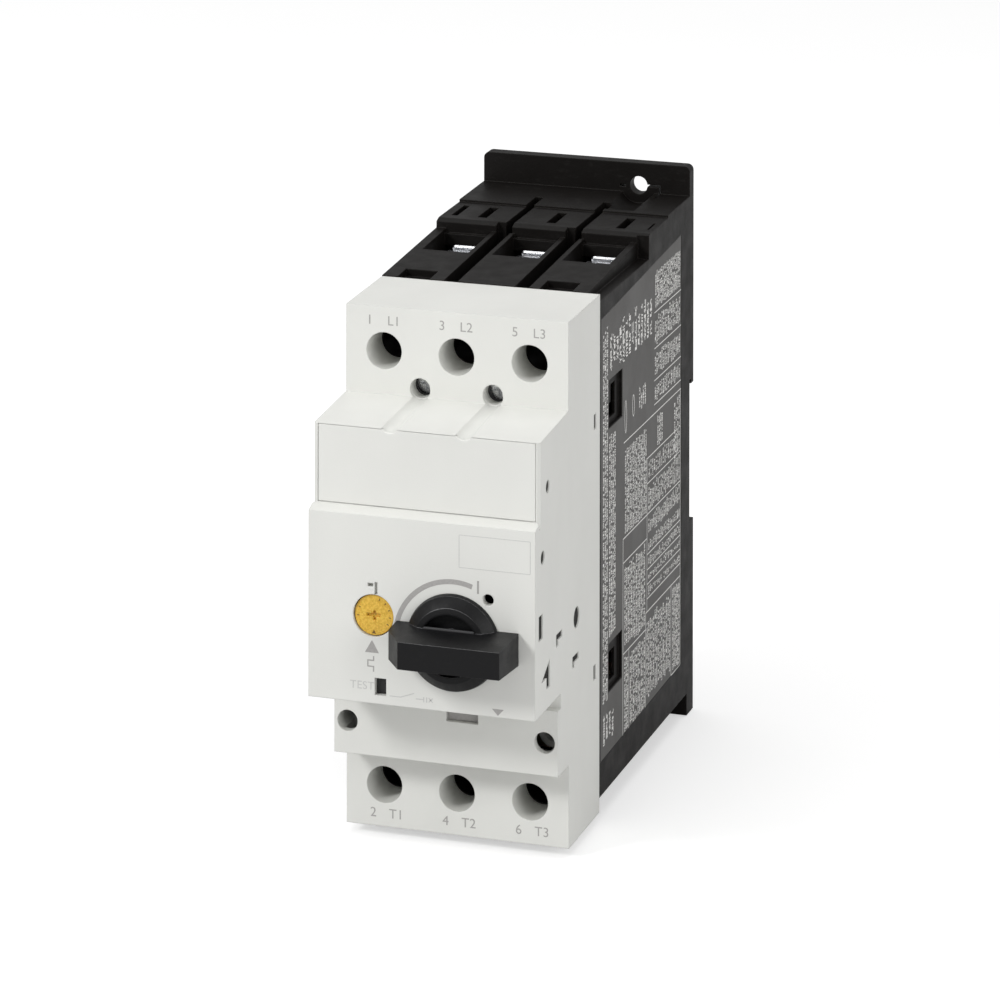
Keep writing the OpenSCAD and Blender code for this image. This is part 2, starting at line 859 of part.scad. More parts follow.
module handle() color(knob_black) translate([knob_x, 0, knob_z]) {
  well_r = 7.2;
  well_floor = panel_y - 1;
  skirt_h = 3.4;
  hub_r = 3.4;
  difference() {
    union() {
      // Skirt with a sunken well that the grip bridges
      translate([0, panel_y - 0.1, 0])
        rotate([90, 0, 0])
          rotate_extrude($fn = 96)
            polygon([
              [0, 0], [skirt_r, 0], [skirt_r - 0.3, 1.2],
              [well_r + 1.5, skirt_h - 0.2], [well_r + 0.4, skirt_h], [0, skirt_h]
            ]);
      grip();
    }
    difference() {
      rod_y(0, 0, well_r, [panel_y - skirt_h - 0.2, well_floor]);
      rod_y(0, 0, hub_r, [panel_y - skirt_h - 1, well_floor + 1]);
    }
    rod_y(0, 0, shaft_tip_r + slip, [panel_y - 11, panel_y + 1]);
  }
}

module handle_shaft() color(steel) {
  rod_y(knob_x, knob_z, shaft_tip_r, [panel_y - 10.5, panel_y + 1]);
  rod_y(knob_x, knob_z, shaft_r, [panel_y + 0.1, cam_mid_y - 2]);
}

// Face cam: its sloped end lets the follower move by one contact gap in a quarter turn
module drive_cam() color(steel) difference() {
  slope = atan(contact_gap / cam_arm);
  reach = 2 * cam_r;
  rod_y(knob_x, knob_z, cam_r, [frame_y[1] + 0.1, cam_mid_y + cam_r]);
  translate([knob_x, cam_mid_y, knob_z])
    rotate([0, 0, slope])
      box([-reach, reach], [0, reach], [-reach, reach]);
  rod_y(knob_x, knob_z, shaft_r, [frame_y[0], cam_mid_y - 2]);
}

module mechanism_frame() color(beige) difference() {
  frame_half = 24.8;
  frame_h = 92;
  boss_l = 4;
  finger_half = 0.9;
  through = [frame_y[0] - boss_l - 1, frame_y[1] + 1];
  union() {
    box([-frame_half, frame_half], frame_y, [-frame_h / 2, frame_h / 2]);
    rod_y(knob_x, knob_z, shaft_r * 2, [frame_y[0] - boss_l, frame_y[1]]);
    // Fingers that keep the trip bar in its slots
    for (x = [-pole_pitch / 2, pole_pitch / 2])
      box([x - finger_half, x + finger_half], [frame_y[0] + eps, bar_axis_y - bar_r - 0.1],
          [bar_axis_z - bar_r + 0.2, bar_axis_z + bar_r - 0.2]);
  }
  for (x = poles)
    rod_y(x, line_z, driver_r + tube_wall + 0.2, through);
  for (spot = screw_spots)
    rod_y(spot[0], spot[1], screw_shank_r + 0.1, through);
  rod_y(knob_x, knob_z, shaft_r + slip, through);
  rod_y(dial_x, dial_z, dial_shaft_r + slip, through);
  rod_y(test_x, test_z, rod_r + slip, through);
  // Room for the cam to turn
  rod_y(knob_x, knob_z, cam_r + 0.3, [frame_y[1], bar_axis_y]);
}

module contact_carrier() color(knob_black) {
  retainer_y = [bridge_y + bridge_t, bridge_y + bridge_t + retainer_t];
  retainer_half = bridge_arm_x + bridge_arm_t / 2;
  box([-carrier_half, carrier_half], carrier_y, carrier_z);
  for (x = poles) {
    for (mid = [x - bridge_arm_x, x + bridge_arm_x])
      box([mid - bridge_arm_t / 2, mid + bridge_arm_t / 2], [carrier_y[1] - eps, retainer_y[1]],
          [contact_mid_z - 2, contact_mid_z + 2]);
    box([x - retainer_half, x + retainer_half], retainer_y, [contact_mid_z - 1.5, contact_mid_z + 1.5]);
  }
  // Follower that the cam pushes
  follower_x = knob_x - cam_arm;
  follower_end = cam_mid_y - contact_gap + 0.45;
  box([follower_x - follower_w / 2, follower_x + follower_w / 2], [carrier_y[0], carrier_y[0] + 3],
      [knob_z - follower_w / 2, carrier_z[0] + eps]);
  rod_y(follower_x, knob_z, follower_r, [follower_end + follower_r, carrier_y[0] + eps]);
  translate([follower_x, follower_end + follower_r, knob_z])
    sphere(r = follower_r);
}

module contact_bridges() color(copper)
  for (x = poles)
    box([x - bridge_w / 2, x + bridge_w / 2], [bridge_y, bridge_y + bridge_t],
        [contact_mid_z - bridge_half, contact_mid_z + bridge_half]);

module moving_contacts() color(silver) contact_tips([bridge_y + bridge_t, bridge_y + bridge_t + 1], 2.4);

module bridge_springs() color(steel)
  for (x = poles)
    coil_y(x, contact_mid_z, 1.6, 0.35, [carrier_y[1], bridge_y], 6);

module opening_spring() color(steel)
  coil_y(knob_x - cam_arm, spring_z, 1.5, 0.35, [carrier_y[0] + 3, spring_seat_y], 9);

// ---- Releases

module trip_bar() color(beige) {
  paddle_y = [bar_axis_y - 1, bar_axis_y + 1];
  rod_x(bar_axis_y, bar_axis_z, bar_r, [-bar_half, bar_half]);
  for (x = poles)
    box([x - 3, x + 6.4], paddle_y, [bar_axis_z, coil_z + 1.6]);
  box([-12, -10.4], paddle_y, [test_arm_z - 1.5, bar_axis_z]);
}

// Steel latch on the trip bar, reaching forward to the switch mechanism
module trip_latch() color(steel) difference() {
  union() {
    rod_x(bar_axis_y, bar_axis_z, bar_r + 1.4, latch_x);
    box(latch_x, [latch_front_y, bar_axis_y], [bar_axis_z - 1.6, bar_axis_z + 1.6]);
    box(latch_x, [latch_front_y, latch_front_y + 2.5], [bar_axis_z - 1.6, bar_axis_z + 4.5]);
  }
  rod_x(bar_axis_y, bar_axis_z, bar_r, [latch_x[0] - 1, latch_x[1] + 1]);
}

module trip_plungers() color(steel)
  for (x = poles) {
    rod_y(x, coil_z, 1.2, [bar_axis_y + 1.1, coil_y[0] + 2]);
    rod_y(x, coil_z, core_r, [coil_y[0] + 2, coil_y[1] - 8]);
  }

module test_button() color(knob_black) {
  half_w_in = test_w / 2 - 0.1;
  half_h_in = test_h / 2 - 0.1;
  box([test_x - half_w_in, test_x + half_w_in], [panel_y + 1.4, button_stem_y],
      [test_z - half_h_in, test_z + half_h_in]);
  box([test_x - test_w / 2 - button_skirt, test_x + test_w / 2 + button_skirt],
      [button_stem_y, button_stem_y + 1.5],
      [panel_low_z + cover_wall + 0.1, test_z + test_h / 2 + button_skirt]);
}

module test_rod() color(steel) {
  rod_y(test_x, test_z, rod_r, [button_stem_y + 1.5, rod_kink_y[1]]);
  rod_y(test_x, test_z, 2 * rod_r, [spring_stop_y - 1.5, spring_stop_y]);
  box([test_arm_x - rod_r, test_x + rod_r], rod_kink_y, [test_arm_z - rod_r, test_z + rod_r]);
  rod_y(test_arm_x, test_arm_z, rod_r, [rod_kink_y[1], bar_axis_y - 1.1]);
}

module test_spring() color(steel) coil_y(test_x, test_z, 2, 0.3, [spring_stop_y, frame_y[0]], 6);

module setting_dial() color(dial_yellow) difference() {
  union() {
    rod_y(dial_x, dial_z, dial_r, [dial_y, button_stem_y]);
    rod_y(dial_x, dial_z, dial_r + 0.9, [button_stem_y, button_stem_y + 1.5]);
  }
  slot_y = [dial_y - 1, dial_y + 0.8];
  slot_w = 0.7;
  box([dial_x - 1.8, dial_x + 1.5], slot_y, [dial_z - slot_w / 2, dial_z + slot_w / 2]);
  box([dial_x - 0.2, dial_x - 0.2 + slot_w], slot_y, [dial_z - 1.2, dial_z + 1]);
}

module setting_shaft() color(steel) {
  eccentric_r = 3.5;
  eccentric_offset = 1.2;
  rod_y(dial_x, dial_z, dial_shaft_r, [button_stem_y + 1.5, frame_y[1] + 3]);
  rod_y(dial_x + eccentric_offset, dial_z, eccentric_r, [frame_y[1] + 1, frame_y[1] + 4]);
}

// ---- Rail foot

module rail_foot() color(dark) difference() {
  through = [-foot_t - 1, 1];
  window_w = post_w + 0.8;
  slot_w = 7;
  union() {
    box([-foot_neck_w / 2, foot_neck_w / 2], [lip_y, -0.1], [foot_low_z, -hook_z]);
    box([-foot_w / 2, foot_w / 2], [-foot_t, -1.4], [foot_low_z, -lip_z]);
  }
  box([-window_w / 2, window_w / 2], through, foot_window);
  // Slot for the screwdriver that pulls the foot down
  box([-slot_w / 2, slot_w / 2], through, [-64.5, -62]);
}

module foot_spring() color(steel)
  translate([0, -2, post_top_z])
    coil(1.3, 0.3, foot_window[1] - post_top_z, 8);

rear_housing();
front_cover();
label_plate();
side_label();
cover_screws();
mechanism_frame();
line_clamps();
load_clamps();
line_screws();
load_screws();
line_conductors();
load_conductors();
load_straps();
fixed_contacts();
arc_plates();
arc_cheeks();
trip_coils();
coil_bobbins();
magnet_yokes();
bimetals();
handle();
handle_shaft();
drive_cam();
contact_carrier();
contact_bridges();
moving_contacts();
bridge_springs();
opening_spring();
trip_bar();
trip_latch();
trip_plungers();
test_button();
test_rod();
test_spring();
setting_dial();
setting_shaft();
rail_foot();
foot_spring();
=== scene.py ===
"""Looks for the motor protection breaker: materials, printed marks, springs and fine detail.

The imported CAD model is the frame. Lengths in this script are millimetres of that frame, and
become metres where they reach Blender. +X points to the side that carries the label, +Y from
the front panel to the mounting plane, and +Z up.
"""

import json
import math
import random

import bmesh
import bpy
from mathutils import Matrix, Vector


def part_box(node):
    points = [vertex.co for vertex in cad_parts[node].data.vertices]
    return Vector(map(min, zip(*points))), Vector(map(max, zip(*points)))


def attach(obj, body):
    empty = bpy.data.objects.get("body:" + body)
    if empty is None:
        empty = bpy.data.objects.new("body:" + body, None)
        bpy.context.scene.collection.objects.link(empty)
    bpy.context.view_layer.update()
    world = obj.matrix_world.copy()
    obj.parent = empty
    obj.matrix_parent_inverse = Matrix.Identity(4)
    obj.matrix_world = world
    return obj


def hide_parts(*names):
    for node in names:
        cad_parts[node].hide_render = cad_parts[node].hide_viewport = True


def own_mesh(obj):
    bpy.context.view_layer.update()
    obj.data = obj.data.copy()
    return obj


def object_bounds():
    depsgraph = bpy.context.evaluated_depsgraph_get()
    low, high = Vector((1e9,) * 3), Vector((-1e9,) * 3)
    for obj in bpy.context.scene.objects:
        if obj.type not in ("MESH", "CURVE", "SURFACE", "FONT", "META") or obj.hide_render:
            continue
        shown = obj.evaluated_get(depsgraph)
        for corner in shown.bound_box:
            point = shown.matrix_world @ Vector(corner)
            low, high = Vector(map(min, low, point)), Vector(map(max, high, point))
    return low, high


MM = 0.001
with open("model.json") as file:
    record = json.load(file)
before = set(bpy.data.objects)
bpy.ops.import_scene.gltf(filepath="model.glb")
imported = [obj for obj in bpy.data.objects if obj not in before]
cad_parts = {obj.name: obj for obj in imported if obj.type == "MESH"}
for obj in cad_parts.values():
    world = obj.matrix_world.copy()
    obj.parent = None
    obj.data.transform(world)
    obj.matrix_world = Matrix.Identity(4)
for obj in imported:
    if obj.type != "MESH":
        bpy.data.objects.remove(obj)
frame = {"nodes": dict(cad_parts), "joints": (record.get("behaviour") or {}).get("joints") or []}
nodes = frame["nodes"]
joints = {joint["name"]: joint for joint in frame["joints"]}
cad_low, cad_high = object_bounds()


def corners(node):
    """A CAD node's lowest and highest corner, in millimetres."""
    low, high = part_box(node)
    return low / MM, high / MM


# ---- Places on the CAD model

panel_y = corners("front_cover")[0].y
handle_axis = Vector(joints["handle_turn"]["pos_m"]) / MM
dial_axis = Vector(joints["dial_turn"]["pos_m"]) / MM
dial_face_y = corners("setting_dial")[0].y
label_face_x = corners("side_label")[1].x
clamp_low, clamp_high = corners("line_clamps")
clamp_width = 9.8
pitch = (clamp_high.x - clamp_low.x - clamp_width) / 2
pole_x = (-pitch, 0.0, pitch)

# Front faces of the cover, and the height of the driver holes in two of them
line_face_y = -119
load_face_y = -118
ledge_face_y = -127.5
line_hole_z = 48.3
load_hole_z = -55.3


# ---- Node materials


class Graph:
    """A material's node tree, with short calls for the nodes used here."""

    def __init__(self, name):
        self.material = bpy.data.materials.new(name)
        self.material.use_nodes = True
        self.tree = self.material.node_tree
        self.tree.nodes.clear()
        metres = self.node("TexCoord").outputs["Object"]
        scaled = self.node("VectorMath", {"operation": "SCALE"}, Vector=metres, Scale=1 / MM)
        self.place = scaled.outputs[0]

    def node(self, kind, settings=None, **inputs):
        made = self.tree.nodes.new("ShaderNode" + kind)
        for key, value in (settings or {}).items():
            setattr(made, key, value)
        for key, value in inputs.items():
            self.feed(made.inputs[key.replace("_", " ")], value)
        return made

    def feed(self, socket, value):
        if isinstance(value, bpy.types.NodeSocket):
            self.tree.links.new(value, socket)
        else:
            socket.default_value = value

    def math(self, operation, a, b=0.0):
        made = self.node("Math", {"operation": operation})
        self.feed(made.inputs[0], a)
        self.feed(made.inputs[1], b)
        return made.outputs[0]

    def noise(self, size, detail=3.0, stretch=(1, 1, 1), roughness=0.55):
        """Noise whose blobs are about `size` mm across, drawn out by `stretch`."""
        scaled = self.node("VectorMath", {"operation": "MULTIPLY"}, Vector=self.place)
        scaled.inputs[1].default_value = [1 / (size * s) for s in stretch]
        made = self.node(
            "TexNoise", None, Vector=scaled.outputs[0], Scale=1.0, Detail=detail, Roughness=roughness
        )
        return made.outputs["Fac"]

    def span(self, value, low, high, to_low=0.0, to_high=1.0):
        """Maps value from low..high to to_low..to_high, clamped."""
        made = self.node("MapRange", None, Value=value)
        made.inputs["From Min"].default_value = low
        made.inputs["From Max"].default_value = high
        made.inputs["To Min"].default_value = to_low
        made.inputs["To Max"].default_value = to_high
        return made.outputs[0]

    def mix(self, factor, a, b):
        """A colour between a and b. The node keeps its colour sockets at these places."""
        factor_in, a_in, b_in, colour_out = 0, 6, 7, 2
        made = self.node("Mix", {"data_type": "RGBA"})
        self.feed(made.inputs[factor_in], factor)
        for place, colour in ((a_in, a), (b_in, b)):
            linked = isinstance(colour, bpy.types.NodeSocket)
            self.feed(made.inputs[place], colour if linked else (*colour, 1))
        return made.outputs[colour_out]

    def rounded_edges(self, radius):
        """(normal with edges rounded by radius mm, mask that is 1 along those edges)."""
        flat_dot, edge_dot = 0.995, 0.86
        normal = self.node("Bevel", {"samples": 6}, Radius=radius * MM).outputs[0]
        flat = self.node("NewGeometry").outputs["Normal"]
        dot = self.node("VectorMath", {"operation": "DOT_PRODUCT"}, Vector=normal)
        self.feed(dot.inputs[1], flat)
        return normal, self.span(dot.outputs["Value"], flat_dot, edge_dot)

    def bump(self, height, depth, normal=None):
        """A bump of `depth` mm where height goes from 0 to 1."""
        made = self.node("Bump", None, Height=height, Distance=depth * MM)
        if normal is not None:
            self.feed(made.inputs["Normal"], normal)
        return made.outputs[0]

    def finish(self, colour, roughness, normal, **inputs):
        shader = self.node("BsdfPrincipled", None, Base_Color=colour, Roughness=roughness, Normal=normal)
        for key, value in inputs.items():
            self.feed(shader.inputs[key.replace("_", " ")], value)
        self.node("OutputMaterial", None, Surface=shader.outputs[0])
        return self.material


def shade(colour, factor):
    return tuple(min(1.0, channel * factor) for channel in colour)


def plastic(
    name, colour, roughness, edge_round=0.35, edge_gain=1.0, grain=0.03, specular=0.5, dust=0.0
):
    """Moulded plastic: spark-eroded grain, faint flow marks, and edges toned by edge_gain, partly rubbed
    wear and partly painted highlight.
    """
    flow_contrast = 0.045
    dust_colour = (0.35, 0.34, 0.32)
    g = Graph(name)
    normal, edge = g.rounded_edges(edge_round)
    flow = g.noise(17, 2, stretch=(1, 1, 2.2))
    fine = g.noise(0.34, 2)
    scuffs = g.span(g.noise(3.1, 5, stretch=(1, 1, 0.35), roughness=0.7), 0.56, 0.72)
    # Edge tone: partly rubbed wear, partly a painted highlight where edge_gain lightens the edges
    rubbed_and_highlight = g.math("MULTIPLY", edge, g.span(scuffs, 0, 1, 0.25, 0.8))
    tone = g.mix(flow, shade(colour, 1 - flow_contrast), shade(colour, 1 + flow_contrast))
    tone = g.mix(rubbed_and_highlight, tone, shade(colour, edge_gain))
    if dust:
        tone = g.mix(g.math("MULTIPLY", scuffs, dust), tone, dust_colour)
    uneven = g.span(g.noise(5, 3), 0.3, 0.7, roughness - 0.05, roughness + 0.06)
    rough = g.math("ADD", uneven, g.math("MULTIPLY", edge, -0.08))
    return g.finish(tone, rough, g.bump(fine, grain, normal), Specular_IOR_Level=specular)


def painted_edge_highlight(name, dark, light):
    """Painted highlight on a moulded edge: lighter where it faces up and forward, in place of the light's
    reflection there.
    """
    g = Graph(name)
    normal = g.node("SeparateXYZ", None, Vector=g.node("NewGeometry").outputs["Normal"])
    upward = g.span(normal.outputs["Z"], 0.33, 0.62)
    forward = g.span(normal.outputs["Y"], -0.56, -0.72)
    # Noise patches that make the painted highlight uneven, and vary the roughness
    worn = g.span(g.noise(1.1, 4), 0.3, 0.6, 0.6, 1.0)
    lit = g.math("MULTIPLY", g.math("MULTIPLY", upward, forward), worn)
    grain = g.bump(g.noise(0.34, 2), 0.02)
    return g.finish(g.mix(lit, dark, light), g.span(worn, 0, 1, 0.4, 0.3), grain, Specular_IOR_Level=0.3)


def metal(name, colour, roughness, stretch=(1, 1, 1), tarnish=None):
    """Plated or drawn metal with fine lines along `stretch` and uneven roughness."""
    edge_round = 0.15
    g = Graph(name)
    normal, edge = g.rounded_edges(edge_round)
    lines = g.noise(0.22, 3, stretch=stretch)
    clouds = g.noise(2.6, 4)
    tone = g.mix(g.span(clouds, 0.4, 0.72), colour, tarnish or shade(colour, 0.8))
    # Edges lighter: partly worn plating, partly painted highlight
    tone = g.mix(g.math("MULTIPLY", edge, 0.5), tone, shade(colour, 1.15))
    uneven = g.span(clouds, 0.3, 0.7, roughness - 0.07, roughness + 0.1)
    rough = g.math("ADD", uneven, g.span(lines, 0.35, 0.65, -0.04, 0.05))
    return g.finish(tone, rough, g.bump(lines, 0.012, normal), Metallic=1.0)


def ink(name, colour, worn):
    """Printing ink that has worn unevenly."""
    g = Graph(name)
    wear = g.span(g.noise(0.5, 4, roughness=0.7), 0.38, 0.66)
    tone = g.mix(g.math("MULTIPLY", wear, worn), colour, shade(colour, 1.35))
    return g.finish(tone, g.span(wear, 0, 1, 0.42, 0.6), g.bump(g.noise(0.2, 2), 0.01))


def label_film():
    """Satin grey film with a faint weave of scratches along the housing."""
    dark, light, scratched = (0.070, 0.068, 0.065), (0.090, 0.087, 0.083), (0.12, 0.117, 0.11)
    g = Graph("label_film")
    scratches = g.noise(0.5, 4, stretch=(1, 9, 0.4))
    clouds = g.noise(11, 3)
    tone = g.mix(clouds, dark, light)
    tone = g.mix(g.span(scratches, 0.62, 0.78, 0, 0.35), tone, scratched)
    rough = g.span(clouds, 0.3, 0.7, 0.40, 0.52)
    return g.finish(tone, rough, g.bump(scratches, 0.008), Specular_IOR_Level=0.4)


def dial_plastic():
    """Slightly translucent, mottled yellow plastic."""
    dark, light = (0.62, 0.36, 0.030), (0.80, 0.52, 0.075)
    g = Graph("dial_yellow")
    normal = g.rounded_edges(0.22)[0]
    specks = g.span(g.noise(0.45, 3), 0.36, 0.62)
    return g.finish(
        g.mix(specks, dark, light), g.span(specks, 0, 1, 0.38, 0.5), g.bump(g.noise(0.3, 2), 0.02, normal),
        Subsurface_Weight=0.12, Subsurface_Scale=0.0006,
    )


def floor_material():
    """Pale matt floor that looks white to the camera, but lights the object like pale grey."""
    dark, light, glow = (0.64, 0.64, 0.64), (0.67, 0.67, 0.67), 0.5
    g = Graph("studio_floor")
    cloud = g.noise(260, 3)
    seen = g.node("LightPath").outputs["Is Camera Ray"]
    return g.finish(
        g.mix(cloud, dark, light), g.span(cloud, 0.3, 0.7, 0.75, 0.85), g.bump(cloud, 0.05),
        Specular_IOR_Level=0.1, Emission_Color=(1, 1, 1, 1),
        Emission_Strength=g.math("MULTIPLY", seen, glow),
    )


# edge_gain above 1 lightens edges, partly as wear and partly as painted highlight; the black plastics take
# large gains
COVER = plastic("cover_light_grey", (0.742, 0.744, 0.712), 0.47, edge_gain=1.1, grain=0.022)
HOUSING = plastic(
    "housing_black", (0.0052, 0.0043, 0.0037), 0.46, edge_gain=5.0, grain=0.035, specular=0.15, dust=0.02
)
KNOB_BLACK = (0.0060, 0.0060, 0.0066)
HANDLE = plastic("handle_black", KNOB_BLACK, 0.42, edge_round=0.25, edge_gain=4.0, specular=0.22, dust=0.01)
# Painted highlight on the handle's bevelled edges, in light grey
HANDLE_EDGE_HIGHLIGHT = painted_edge_highlight("handle_edge_painted_highlight", KNOB_BLACK, (0.46, 0.46, 0.47))
BUTTON = plastic("button_black", (0.010, 0.010, 0.010), 0.5, edge_round=0.2, edge_gain=3.0)
INSULATOR = plastic(
    "insulator_beige", (0.52, 0.44, 0.31), 0.55, edge_round=0.25, edge_gain=1.12, grain=0.05
)
FIBRE = plastic("arc_fibre", (0.42, 0.36, 0.27), 0.8, edge_round=0.1, edge_gain=0.85, grain=0.06)
ZINC = metal("zinc_plated_steel", (0.74, 0.75, 0.77), 0.27, tarnish=(0.60, 0.60, 0.61))
SCREW = metal("screw_zinc", (0.80, 0.81, 0.82), 0.24, tarnish=(0.55, 0.55, 0.57))
SHAFT = metal("drawn_steel", (0.62, 0.63, 0.65), 0.3, stretch=(1, 14, 1))
SPRING = metal("spring_steel", (0.46, 0.47, 0.49), 0.28, tarnish=(0.30, 0.29, 0.28))
BAR = metal("tinned_copper", (0.76, 0.50, 0.36), 0.34, stretch=(1, 1, 12), tarnish=(0.72, 0.60, 0.50))
WINDING = metal("enamelled_copper", (0.72, 0.30, 0.14), 0.22, tarnish=(0.55, 0.20, 0.10))
TIP = metal("silver_alloy", (0.88, 0.87, 0.84), 0.36, tarnish=(0.66, 0.64, 0.60))
BIMETAL = metal("bimetal_strip", (0.66, 0.64, 0.58), 0.32, stretch=(1, 1, 10), tarnish=(0.55, 0.46, 0.36))
# Painted highlight: a grey far lighter than the handle, so the grip ledge reads as a lit edge
LEDGE_HIGHLIGHT = plastic("grip_ledge_painted_highlight", (0.07, 0.07, 0.073), 0.42, specular=0.3)
LABEL = label_film()
DIAL = dial_plastic()
GREY_INK = ink("grey_ink", (0.36, 0.35, 0.34), 0.5)
PALE_INK = ink("pale_ink", (0.56, 0.56, 0.545), 0.25)
WHITE_INK = ink("white_ink", (0.86, 0.85, 0.82), 0.3)
BROWN_INK = ink("brown_ink", (0.17, 0.085, 0.012), 0.4)

NODE_MATERIALS = {
    COVER: ["front_cover", "label_plate"],
    HOUSING: ["rear_housing", "rail_foot", "contact_carrier"],
    HANDLE: ["handle"],
    BUTTON: ["test_button"],
    LABEL: ["side_label"],
    DIAL: ["setting_dial"],
    INSULATOR: ["mechanism_frame", "coil_bobbins", "trip_bar"],
    FIBRE: ["arc_cheeks"],
    SCREW: ["cover_screws", "line_screws", "load_screws"],
    ZINC: ["line_clamps", "load_clamps", "arc_plates", "magnet_yokes", "trip_latch", "drive_cam"],
    SHAFT: ["handle_shaft", "setting_shaft", "test_rod", "trip_plungers"],
    SPRING: ["bridge_springs", "opening_spring", "test_spring", "foot_spring"],
    BAR: ["line_conductors", "load_conductors", "load_straps", "contact_bridges"],
    WINDING: ["trip_coils"],
    TIP: ["fixed_contacts", "moving_contacts"],
    BIMETAL: ["bimetals"],
}


def dress_nodes():
    for material, names in NODE_MATERIALS.items():
        for name in names:
            nodes[name].data.materials.clear()
            nodes[name].data.materials.append(material)


# ---- Rounded edges on the CAD nodes

EDGE_WIDTHS = {
    "label_plate": 0.15, "setting_dial": 0.12, "rail_foot": 0.3, "contact_carrier": 0.2,
    "line_clamps": 0.3, "load_clamps": 0.3, "contact_bridges": 0.2, "magnet_yokes": 0.15,
    "mechanism_frame": 0.25, "test_button": 0.15,
}


def soften(name, width, angle=32, edge_material=None):
    """Rounds a node's edges sharper than `angle` with modifiers. Its own vertices stay as they are."""
    node = nodes[name]
    weld = node.modifiers.new("weld", "WELD")
    weld.merge_threshold = 0.002 * MM
    flat = node.modifiers.new("flat", "DECIMATE")
    flat.decimate_type = "DISSOLVE"
    flat.angle_limit = math.radians(0.6)
    bevel = node.modifiers.new("round", "BEVEL")
    bevel.width = width * MM
    bevel.segments = 2
    bevel.limit_method = "ANGLE"
    bevel.angle_limit = math.radians(angle)
    bevel.harden_normals = True
    # The bevel faces can take a material of their own, such as a painted edge highlight
    if edge_material:
        node.data.materials.append(edge_material)
        bevel.material = 1


# ---- Building pieces


def add_piece(name, mesh, material, body):
    """A new piece that rides on a body, in the given material."""
    piece = bpy.data.objects.new(name, mesh)
    bpy.context.scene.collection.objects.link(piece)
    mesh.materials.clear()
    mesh.materials.append(material)
    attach(piece, body)
    return piece


def mesh_piece(name, mesh, material, body, smooth=False):
    """Turns a finished bmesh into a piece."""
    bmesh.ops.recalc_face_normals(mesh, faces=mesh.faces)
    data = bpy.data.meshes.new(name)
    mesh.to_mesh(data)
    mesh.free()
    for polygon in data.polygons:
        polygon.use_smooth = smooth
    return add_piece(name, data, material, body)


def join_rings(mesh, first, second):
    """Walls between two closed rings of as many vertices."""
    for k in range(len(first)):
        j = (k + 1) % len(first)
        mesh.faces.new((first[k], first[j], second[j], second[k]))


class Print:
    """Flat marks on one plane of the object, or taller prisms that stand on it."""

    def __init__(self, origin, across, up, thickness=0.03):
        self.origin, self.across, self.up = Vector(origin), Vector(across), Vector(up)
        self.out = self.across.cross(self.up).normalized()
        self.thickness = thickness
        self.mesh = bmesh.new()

    def at(self, u, v, height):
        return (self.origin + self.across * u + self.up * v + self.out * height) * MM

    def shape(self, outline):
        """A closed prism over a flat outline."""
        area = sum(a[0] * b[1] - b[0] * a[1] for a, b in zip(outline, outline[1:] + outline[:1]))
        if area < 0:
            outline = outline[::-1]
        low = [self.mesh.verts.new(self.at(u, v, 0.0)) for u, v in outline]
        high = [self.mesh.verts.new(self.at(u, v, self.thickness)) for u, v in outline]
        self.mesh.faces.new(high)
        self.mesh.faces.new(low[::-1])
        join_rings(self.mesh, low, high)

    def bar(self, u0, v0, u1, v1):
        self.shape([(u0, v0), (u1, v0), (u1, v1), (u0, v1)])

    def stroke(self, points, width):
        """A line of the given width through the points, with mitred corners."""
        sharpest_mitre = 0.4

        def side(sign):
            line = []
            for i, point in enumerate(points):
                before = Vector(points[max(i - 1, 0)])
                after = Vector(points[min(i + 1, len(points) - 1)])
                here = Vector(point)
                first = (here - before).normalized() if i else (after - here).normalized()
                second = (after - here).normalized() if i < len(points) - 1 else first
                normal = Vector((-first.y - second.y, first.x + second.x)).normalized()
                reach = width / 2 / max(sharpest_mitre, normal.dot(Vector((-first.y, first.x))))
                line.append(tuple(here + normal * reach * sign))
            return line

        left, right = side(1), side(-1)
        for i in range(len(points) - 1):
            self.shape([right[i], right[i + 1], left[i + 1], left[i]])

    def ring(self, centre, radius, width, start=0.0, end=360.0, steps=48):
        turn = [math.radians(start + (end - start) * i / steps) for i in range(steps + 1)]
        u, v = centre
        self.stroke([(u + radius * math.cos(a), v + radius * math.sin(a)) for a in turn], width)

    def words(self, text, u, v, height):
        """Plain lettering with capitals of the given height, centred on (u, v)."""
        capital_share = 0.72
        curve = bpy.data.curves.new("lettering", "FONT")
        curve.body = text
        curve.size = height / capital_share
        curve.space_character = 1.05
        curve.align_x = "CENTER"
        holder = bpy.data.objects.new("lettering", curve)
        bpy.context.scene.collection.objects.link(holder)
        bpy.context.view_layer.update()
        solid = holder.evaluated_get(bpy.context.evaluated_depsgraph_get())
        flat = bpy.data.meshes.new_from_object(solid)
        for polygon in flat.polygons:
            outline = [flat.vertices[i].co for i in polygon.vertices]
            self.shape([(u + p.x, v + p.y - height / 2) for p in outline])
        bpy.data.objects.remove(holder)
        bpy.data.curves.remove(curve)
        bpy.data.meshes.remove(flat)

    def piece(self, name, material, body="housing", slot_name="label_grey"):
        return mesh_piece(name, self.mesh, material, body)


def front_print(y, thickness=0.03):
    """Marks on a face of the front, in the frame's own X and Z."""
    return Print((0, y, 0), (1, 0, 0), (0, 0, 1), thickness)


# ---- Springs and coils


